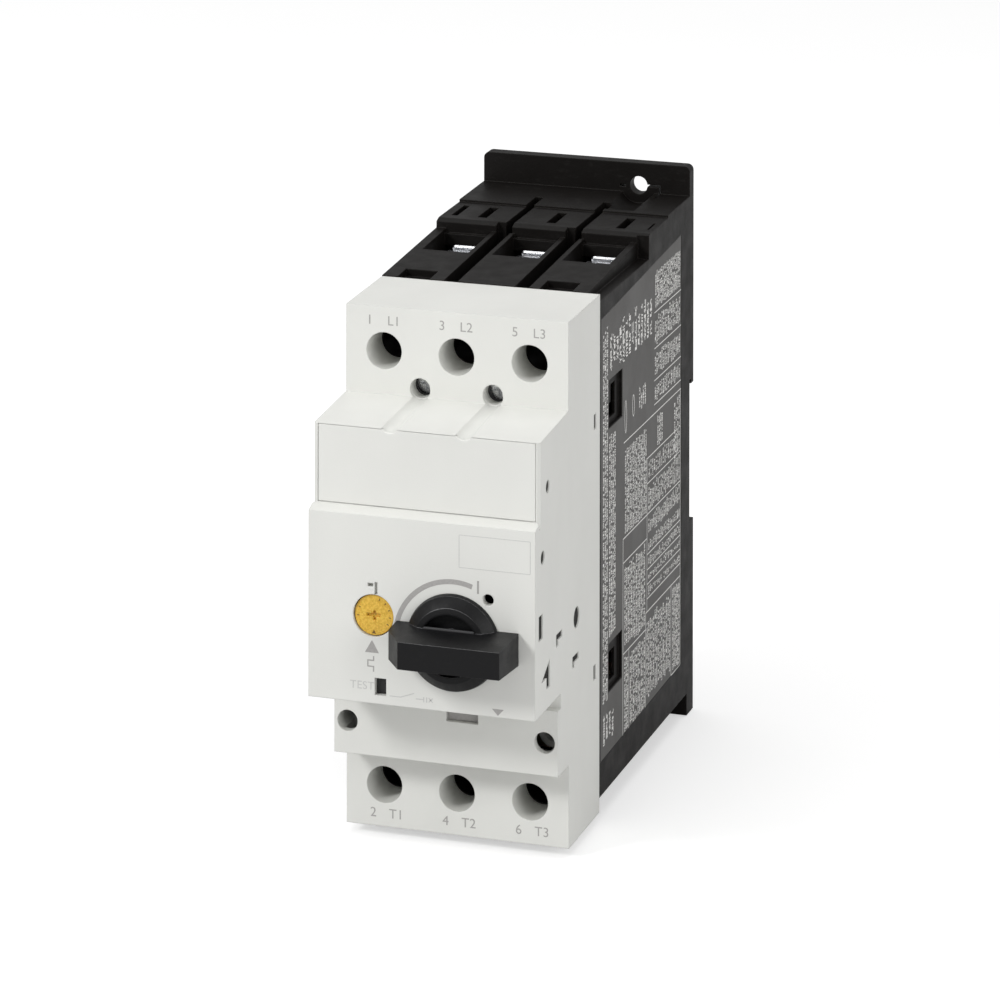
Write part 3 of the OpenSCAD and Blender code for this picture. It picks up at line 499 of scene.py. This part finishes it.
def wind(mesh, start, end, radius, wire, turns):
    """Adds a coil of round wire between two points, with its end turns closed against the coil."""
    start, end = Vector(start), Vector(end)
    along = (end - start).normalized()
    side = along.orthogonal().normalized()
    other = along.cross(side)
    steps, ring = 28, 10
    closed = 1.0
    pitch_length = ((end - start).length - 2 * wire - 2 * closed * 2 * wire) / (turns - 2 * closed)
    rings = []
    for i in range(turns * steps + 1):
        turn = i / steps
        low = min(turn, closed)
        high = max(0.0, turn - (turns - closed))
        climb = wire + (low + high) * 2 * wire + (turn - low - high) * pitch_length
        angle = math.tau * turn
        outward = side * math.cos(angle) + other * math.sin(angle)
        centre = start + along * climb + outward * radius
        rings.append([
            mesh.verts.new((centre + (outward * math.cos(b) + along * math.sin(b)) * wire) * MM)
            for b in (math.tau * k / ring for k in range(ring))
        ])
    for first, second in zip(rings, rings[1:]):
        join_rings(mesh, first, second)
    mesh.faces.new(rings[0][::-1])
    mesh.faces.new(rings[-1])


def squashed_springs():
    """Round wire in place of the faceted springs that a joint squashes."""
    for node, wire, turns, joint, stays in (
        ("opening_spring", 0.34, 9, "carrier_slide", "high"),
        ("test_spring", 0.29, 6, "test_press", "high"),
        ("foot_spring", 0.29, 9, "foot_slide", "low"),
    ):
        low, high = corners(node)
        middle, size = (low + high) / 2, high - low
        axis = max(range(3), key=lambda k: size[k])
        start, end = middle.copy(), middle.copy()
        start[axis], end[axis] = low[axis], high[axis]
        diameter = min(size[k] for k in range(3) if k != axis)
        mesh = bmesh.new()
        wind(mesh, start, end, diameter / 2 - wire, wire, turns)
        piece = mesh_piece(node + "_wire", mesh, SPRING, "housing", smooth=True)
        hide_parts(node)
        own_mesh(piece)


def pole_coils():
    """Round wire in place of the faceted contact springs and trip coils, one a pole."""
    for node, body, wire, turns, material, slot_name in (
        ("bridge_springs", "carrier", 0.34, 6, SPRING, "spring_steel"),
        ("trip_coils", "housing", 0.88, 9, WINDING, "tinned_copper"),
    ):
        low, high = corners(node)
        z = (low.z + high.z) / 2
        radius = (high.z - low.z) / 2 - wire
        mesh = bmesh.new()
        for x in pole_x:
            wind(mesh, (x, low.y, z), (x, high.y, z), radius, wire, turns)
        piece = mesh_piece(node + "_wire", mesh, material, body, smooth=True)
        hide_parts(node)


# ---- Fine detail on the casing, and dark or grey pieces that paint shade in its holes and openings


def tube(mesh, x, z, y0, y1, outer, inner):
    """Adds a tube along Y whose front edge is chamfered inside."""
    steps, widest_chamfer = 40, 0.3
    chamfer = min(widest_chamfer, (outer - inner) / 2)
    profile = [(outer, y0), (outer, y1), (inner, y1), (inner, y0 + chamfer), (inner + chamfer, y0)]
    turn = [math.tau * k / steps for k in range(steps)]
    rings = [
        [mesh.verts.new(Vector((x + radius * math.cos(a), y, z + radius * math.sin(a))) * MM) for a in turn]
        for radius, y in profile
    ]
    for first, second in zip(rings, rings[1:] + rings[:1]):
        join_rings(mesh, first, second)


def driver_hole_shade_liners():
    """Painted shade: dark tubes behind the light rims of the driver holes, and round the upper cover
    screws, that make the holes read dark as shade would.
    """
    rim_depth, liner_end_y, liner_outer, liner_inner = 12.0, -93.6, 4.38, 4.1
    mesh = bmesh.new()
    for x in pole_x:
        for z, face_y in ((line_hole_z, line_face_y), (load_hole_z, load_face_y)):
            tube(mesh, x, z, face_y + rim_depth, liner_end_y, liner_outer, liner_inner)
    screw_x, screw_z, screw_depth, head_height = 9.0, 40.0, 4.4, 1.9
    shade_sleeve_end_y, shade_sleeve_outer, shade_sleeve_inner = corners("cover_screws")[0].y + head_height, 2.49, 2.43
    for x in (-screw_x, screw_x):
        tube(mesh, x, screw_z, line_face_y + screw_depth, shade_sleeve_end_y, shade_sleeve_outer, shade_sleeve_inner)
    mesh_piece("driver_hole_shade_liners", mesh, HOUSING, "housing")


def clamp_lips():
    """A rolled sheet lip on the rear wall of each line clamp, which guides the wire in."""
    left_reach, right_reach, roll, thick, taper = 3.6, 4.4, 2.2, 0.6, 0.35
    foot_y, foot_z, roll_z = clamp_high.y - 0.2, clamp_high.z - 1.5, clamp_high.z - 0.4
    path = [(foot_y, foot_z), (foot_y, roll_z)]
    path += [
        (foot_y - roll * (1 - math.cos(a)), roll_z + roll * math.sin(a))
        for a in (math.radians(12 * k) for k in range(1, 7))
    ]
    mesh = bmesh.new()
    for x in pole_x:
        rings = []
        for i, (y, z) in enumerate(path):
            before, after = path[max(i - 1, 0)], path[min(i + 1, len(path) - 1)]
            run = Vector((after[0] - before[0], after[1] - before[1])).normalized()
            inward = Vector((-run.y, run.x)) * thick
            narrow = taper * max(0, i - len(path) + 3)
            left, right = x - left_reach + narrow, x + right_reach - narrow
            rings.append([
                mesh.verts.new(Vector(point) * MM) for point in (
                    (left, y, z), (right, y, z),
                    (right, y + inward.x, z + inward.y), (left, y + inward.x, z + inward.y),
                )
            ])
        for first, second in zip(rings, rings[1:]):
            join_rings(mesh, first, second)
        mesh.faces.new(rings[0][::-1])
        mesh.faces.new(rings[-1])
    mesh_piece("clamp_lips", mesh, ZINC, "housing")


def notch_shade_sheet():
    """Painted shade: a grey sheet at the back of the notch under the panel, with a rib across it, darker
    than the cover as the notch's shade.
    """
    left, right, depth = 0.35, 7.85, 1.75
    notch_shade = front_print(ledge_face_y + depth, thickness=0.5)
    notch_shade.bar(left, -35.1, right, -30.3)
    notch_shade.thickness = 1.0
    notch_shade.bar(left, -33.4, right, -32.6)
    notch_shade.piece("notch_shade_sheet", GREY_INK)


def grip_ledge():
    """A narrow shelf level with the skirt's front, where the grip's upper face meets the well, in a lighter
    grey that paints the highlight along that edge.
    """
    skirt_front, thick = panel_y - 3.5, 0.45
    shelf = Print((handle_axis.x, skirt_front + thick, handle_axis.z), (1, 0, 0), (0, 0, 1), thick)
    shelf.bar(-6.3, 3.3, 6.0, 3.98)
    shelf.piece("grip_ledge", LEDGE_HIGHLIGHT, "handle", "handle_black")


def circle(y, z, radius, steps=24):
    turn = [math.tau * k / steps for k in range(steps)]
    return [(y + radius * math.cos(a), z + radius * math.sin(a)) for a in turn]


def rectangle(y0, y1, z0, z1):
    return [(y0, z0), (y1, z0), (y1, z1), (y0, z1)]


def side_opening_shade():
    """Painted shade: a dark sheet inside the cover's right wall, with bosses that stand in its openings and
    make them read dark as shade would.
    """
    inner, outer, sheet, gap = 23.6, 27.15, 0.6, 0.08
    side_shade = Print((inner, 0, 0), (0, 1, 0), (0, 0, 1), outer - inner)
    for y, z, radius in ((-136.7, 24.8, 1.5), (-140.8, 9.4, 1.6), (-111.6, -12.6, 2.5)):
        side_shade.shape(circle(y, z, radius - gap))
    # The upright slot, the two hooked openings, and the arrow, whose parts overlap in one boss
    for outline in (
        rectangle(-144 + gap, -140.6 - gap, -9.2 + gap, -3.5 - gap),
        rectangle(-129.2 + gap, -127.4 - gap, -14.7 + gap, -11.8 - gap),
        rectangle(-127.5, -124 - gap, -13.4 + gap, -11.8 - gap),
        rectangle(-115.1 + gap, -113.4 - gap, -23.8 + gap, -21.1 - gap),
        rectangle(-113.5, -109.7 - gap, -22.7 + gap, -21.1 - gap),
        rectangle(-137.4 + gap, -134.6 - gap, -22 + gap, -19.4),
        [(-141.3, -19.3), (-134.7, -19.3), (-134.7, -15.8)],
    ):
        side_shade.shape(outline)
    side_shade.thickness = sheet
    side_shade.shape([
        (-144.2, -23.9), (-108.4, -23.9), (-108.4, 0.0), (-121.0, 12.0), (-121.0, 27.5), (-138.8, 27.5),
        (-138.8, 14.0), (-144.2, 14.0),
    ])
    side_shade.piece("side_opening_shade", HOUSING, slot_name="housing_black")


def latch_tabs():
    """Dark catches that stand in the four slots at the seam."""
    inner, reach, half_height = 24.0, 3.15, 1.7
    for name, side in (("latch_tabs_right", 1), ("latch_tabs_left", -1)):
        tabs = Print((side * inner, 0, 0), (0, side, 0), (0, 0, 1), reach)
        start, end = sorted((side * -96.3, side * -94.4))
        for z in (29.7, -30.4):
            tabs.shape(rectangle(start, end, z - half_height, z + half_height))
        tabs.piece(name, HOUSING, slot_name="housing_black")


# ---- Printed marks on the front


def panel_marks():
    """The handle's arc and on mark, the dial's pointer and symbol, and the triangle at the edge."""
    panel = front_print(panel_y)
    panel.ring((handle_axis.x, handle_axis.z), 14.0, 1.15, start=181, end=71)
    panel.bar(13.55, 1.4, 14.0, 4.4)
    panel.shape([(-13.6, -14.8), (-10.2, -14.8), (-11.9, -11.9)])
    symbol = [
        (-11.5, -15.6), (-11.5, -16.6), (-12.9, -16.6), (-12.9, -18.0), (-11.5, -18.0), (-11.5, -19.2)
    ]
    panel.stroke(symbol, 0.28)
    panel.shape([(17.2, -24.7), (20.0, -24.7), (18.6, -26.2)])
    panel.piece("panel_print", GREY_INK)


def test_marks():
    """The word TEST, and the symbol of a contact that opens with its pair of bars and cross."""
    line = 0.22
    test = front_print(panel_y)
    test.words("TEST", -14.3, -22.5, 1.9)
    test.stroke([(-7.6, -24.4), (-4.9, -24.4), (-1.6, -23.2)], line)
    test.stroke([(-1.2, -24.4), (0.6, -24.4)], line)
    test.bar(0.6, -25.0, 0.85, -23.8)
    test.bar(1.3, -25.0, 1.55, -23.8)
    test.stroke([(1.9, -24.9), (2.9, -23.9)], line)
    test.stroke([(1.9, -23.9), (2.9, -24.9)], line)
    test.piece("test_print", PALE_INK)


def label_field():
    """The thin frame of the small writing field."""
    left, right, low, high, line = 9.2, 26.3, 7.1, 14.6, 0.16
    field = front_print(panel_y)
    for z in (low, high):
        field.stroke([(left, z), (right, z)], line)
    for x in (left, right):
        field.stroke([(x, low + line / 2), (x, high - line / 2)], line)
    field.piece("label_field_print", PALE_INK)


def terminal_marks(name, face_y, z, first_number, number_shift, letter, letter_shift):
    """The number and letter of each pole's terminal."""
    letter_height = 2.3
    marks = front_print(face_y)
    for index, x in enumerate(pole_x):
        marks.words(str(2 * index + first_number), x + number_shift, z, letter_height)
        marks.words(f"{letter}{index + 1}", x + letter_shift, z, letter_height)
    marks.piece(name, GREY_INK)


def dial_marks():
    """Ticks round the dial, and its arrow."""
    dial = Print((dial_axis.x, dial_face_y, dial_axis.z), (1, 0, 0), (0, 0, 1), 0.02)
    for degrees in (-95, -65, 20, 45, 70, 95, 120):
        angle = math.radians(degrees)
        dial.stroke([(r * math.sin(angle), r * math.cos(angle)) for r in (3.6, 4.15)], 0.22)
    dial.shape([(-0.5, -4.3), (0.5, -4.3), (0.0, -3.4)])
    dial.piece("dial_print", BROWN_INK, "dial")


# ---- Fine print on the side label

# Each block of rows: y from and to, z from and to, height of a sign, gap between rows, share of
# signs that are printed, and how far the rows' ends wander
LABEL_BLOCKS = (
    (-89.0, -83.4, -41.0, 50.5, 0.85, 0.5, 1.0, 2),
    (-83.2, -76.2, -26.0, 23.5, 0.85, 0.5, 1.0, 1),
    (-82.0, -41.5, 37.5, 49.5, 1.35, 1.3, 1.0, 3),
    (-39.0, -13.6, 44.0, 53.6, 0.8, 0.35, 1.0, 0.5),
    (-39.0, -13.6, 34.8, 42.3, 0.8, 0.55, 0.95, 1),
    (-39.0, -13.6, 26.8, 33.3, 0.8, 0.55, 0.95, 1),
    (-55.0, -47.5, 21.5, 28.5, 0.8, 0.7, 1.0, 2),
    (-39.0, -13.6, 20.8, 25.2, 0.75, 0.6, 0.9, 0.6),
    (-68.0, -46.8, -5.0, 16.3, 0.75, 0.5, 1.0, 0.5),
    (-37.0, -31.0, 9.0, 17.2, 0.75, 0.4, 1.0, 1),
    (-20.0, -13.8, -5.0, 17.2, 0.75, 0.5, 0.85, 2),
    (-45.8, -13.8, 2.8, 7.6, 0.7, 0.8, 0.9, 0.5),
    (-45.8, -13.8, -4.9, 1.4, 0.7, 0.55, 0.9, 0.8),
    (-45.8, -13.8, -10.9, -6.1, 0.7, 0.55, 0.9, 0.8),
    (-45.8, -13.8, -15.0, -11.8, 0.7, 0.55, 0.9, 0.8),
    (-45.8, -13.8, -18.9, -16.2, 0.7, 0.55, 0.9, 0.8),
    (-45.8, -13.8, -22.4, -20.0, 0.7, 0.55, 0.9, 0.8),
    (-45.8, -13.8, -26.0, -23.6, 0.7, 0.55, 0.9, 0.8),
    (-68.3, -48.0, -33.0, -12.2, 0.75, 0.55, 1.0, 1.5),
    (-63.0, -48.0, -53.2, -34.6, 0.75, 0.5, 0.95, 1),
    (-68.3, -64.2, -53.2, -34.6, 0.75, 0.3, 1.0, 1),
    (-46.5, -23.0, -51.5, -31.0, 0.75, 0.6, 0.95, 2),
    (-22.0, -13.8, -51.8, -30.6, 0.7, 0.3, 1.0, 0.5),
    (-88.8, -77.5, -51.5, -42.5, 1.1, 1.3, 1.0, 3),
)

# Ruled lines: (z, y from, y to) across the label, and (y, z from, z to) up it
LABEL_RULES_ACROSS = (
    (43.0, -39.3, -12.9), (34.0, -39.3, -12.9), (26.0, -39.3, -12.9), (20.0, -39.3, -12.9),
    (17.8, -68.6, -12.9), (8.3, -46.3, -13.2), (2.0, -46.3, -13.2), (-5.6, -69.2, -13.2),
    (-11.5, -69.2, -46.5), (-15.6, -46.4, -13.2), (-19.4, -46.4, -13.2), (-23.0, -46.4, -13.2),
    (-26.6, -46.4, -13.2), (-29.8, -47.5, -13.2), (-33.8, -68.8, -47.6), (-54.0, -69.2, -47.4),
    (-52.6, -22.3, -13.2),
)
LABEL_RULES_UP = (
    (-69.2, -54.0, -5.6), (-47.5, -54.0, -29.8), (-63.6, -54.0, -33.8),
    (-13.2, -52.6, 17.8), (-22.4, -52.6, -29.8), (-46.3, -29.8, 8.3),
)

# The strokes that signs are put together from, in parts of a sign's height and width
SIGN_STROKES = (
    (0, 0, 0, 1), (1, 0, 1, 1), (0, 0, 1, 0), (0, 1, 1, 1), (0, 0.5, 1, 0.5), (0.5, 0, 0.5, 1),
)


def print_sign(sheet, rng, y, z, height):
    """A few strokes that look like a character from afar. It reads up the label."""
    width, weight = height * 0.52, height * 0.27
    for u0, v0, u1, v1 in rng.sample(SIGN_STROKES, rng.choice((2, 2, 3))):
        a, b = y - height * u0, y - height * u1
        c, d = z + width * v0, z + width * v1
        sheet.bar(
            min(a, b) - weight / 2, min(c, d) - weight / 2, max(a, b) + weight / 2, max(c, d) + weight / 2
        )


def print_block(sheet, rng, y0, y1, z0, z1, height, gap, fill, ragged):
    """Rows of signs that run up the label, in words of random length."""
    step, space, line_space = height * 0.82, height * 0.8, 0.25
    shortest, longest = 2, 8
    y = y1 - gap / 2
    while y - height > y0:
        z = z0 + ragged * rng.random()
        stop = z1 - ragged * rng.random()
        word = rng.randint(shortest, longest)
        while z + height * 0.6 < stop:
            if rng.random() < fill:
                print_sign(sheet, rng, y, z, height)
            z += step
            word -= 1
            if word < 0:
                z += space
                word = rng.randint(shortest, longest)
        y -= height + gap + line_space


def fine_print():
    """Rows of small strokes that stand for print, between ruled lines, with no readable words."""
    rng = random.Random(7)
    sheet = Print((label_face_x, 0, 0), (0, 1, 0), (0, 0, 1), 0.02)
    for block in LABEL_BLOCKS:
        print_block(sheet, rng, *block)
    rule = 0.22
    for z, y0, y1 in LABEL_RULES_ACROSS:
        sheet.bar(y0, z - rule / 2, y1, z + rule / 2)
    for y, z0, z1 in LABEL_RULES_UP:
        sheet.bar(y - rule / 2, z0, y + rule / 2, z1)
    half_width, steps = 0.9, 32
    turn = [math.tau * i / steps for i in range(steps + 1)]
    for y, z, half_height in ((-66.8, 23.8, 3.9), (-59.5, 24.8, 2.6)):
        oval = [(y + half_width * math.cos(a), z + half_height * math.sin(a)) for a in turn]
        sheet.stroke(oval, rule)
    sheet.piece("side_label_print", WHITE_INK)


# ---- Floor, light and camera


def area_light(name, place, side, power):
    """A square light, `side` metres wide, that points at the middle of the object."""
    data = bpy.data.lights.new(name, "AREA")
    data.shape = "RECTANGLE"
    data.size = data.size_y = side
    data.energy = power
    light = bpy.data.objects.new(name, data)
    bpy.context.scene.collection.objects.link(light)
    light.location = place
    middle = (cad_low + cad_high) / 2
    light.rotation_euler = (middle - Vector(place)).to_track_quat("-Z", "Y").to_euler()


def make_floor():
    reach, gap = 12.0, 0.0002
    z = cad_low.z - gap
    mesh = bpy.data.meshes.new("floor")
    ends = [(-reach, -reach, z), (reach, -reach, z), (reach, reach, z), (-reach, reach, z)]
    mesh.from_pydata(ends, [], [(0, 1, 2, 3)])
    mesh.materials.append(floor_material())
    floor = bpy.data.objects.new("floor", mesh)
    bpy.context.scene.collection.objects.link(floor)


def make_light():
    world = bpy.data.worlds.new("studio")
    bpy.context.scene.world = world
    world.use_nodes = True
    background = world.node_tree.nodes["Background"]
    background.inputs["Color"].default_value = (1, 1, 1, 1)
    background.inputs["Strength"].default_value = 0.43
    area_light("key", (-1.2, -1.6, 1.2), 0.5, 24.5)
    area_light("fill", (1.5, -0.9, 0.6), 1.2, 10.4)
    area_light("top", (0.0, 0.0, 1.6), 1.2, 9)


def make_camera():
    """A level camera with a strong lens shift, so that upright edges stay parallel.

    The shift belongs to this one viewpoint: drivers drop it when the camera is moved elsewhere.
    """
    data = bpy.data.cameras.new("camera")
    camera = bpy.data.objects.new("camera", data)
    bpy.context.scene.collection.objects.link(camera)
    place = Vector((0.3478, -1.2648, 0.3468))
    camera.location = place
    camera.rotation_euler = (math.radians(90), math.radians(-0.095), math.radians(19.576))
    data.sensor_width = 36
    data.lens = 181.76
    data.clip_start, data.clip_end = 0.05, 40
    for path, shift in (("shift_x", 0.2787), ("shift_y", -1.4032)):
        driver = data.driver_add(path).driver
        driver.type = "SCRIPTED"
        variable = driver.variables.new()
        variable.name = "x"
        variable.type = "TRANSFORMS"
        variable.targets[0].id = camera
        variable.targets[0].transform_type = "LOC_X"
        driver.expression = f"{shift} if abs(x - {place.x:.4f}) < 0.0005 else 0.0"
    bpy.context.scene.camera = camera


dress_nodes()
for softened, edge_width in EDGE_WIDTHS.items():
    soften(softened, edge_width)
# The handle's bevel faces take the painted edge highlight
soften("handle", 0.3, angle=14, edge_material=HANDLE_EDGE_HIGHLIGHT)

squashed_springs()
pole_coils()
driver_hole_shade_liners()
clamp_lips()
notch_shade_sheet()
side_opening_shade()
latch_tabs()
grip_ledge()

panel_marks()
test_marks()
label_field()
terminal_marks("line_terminal_marks", line_face_y, 55.6, 1, -3.6, "L", 2.4)
terminal_marks("load_terminal_marks", load_face_y, -62.0, 2, -2.8, "T", 2.9)
dial_marks()
fine_print()

make_floor()
make_light()
make_camera()
bpy.context.scene.view_settings.view_transform = "Standard"
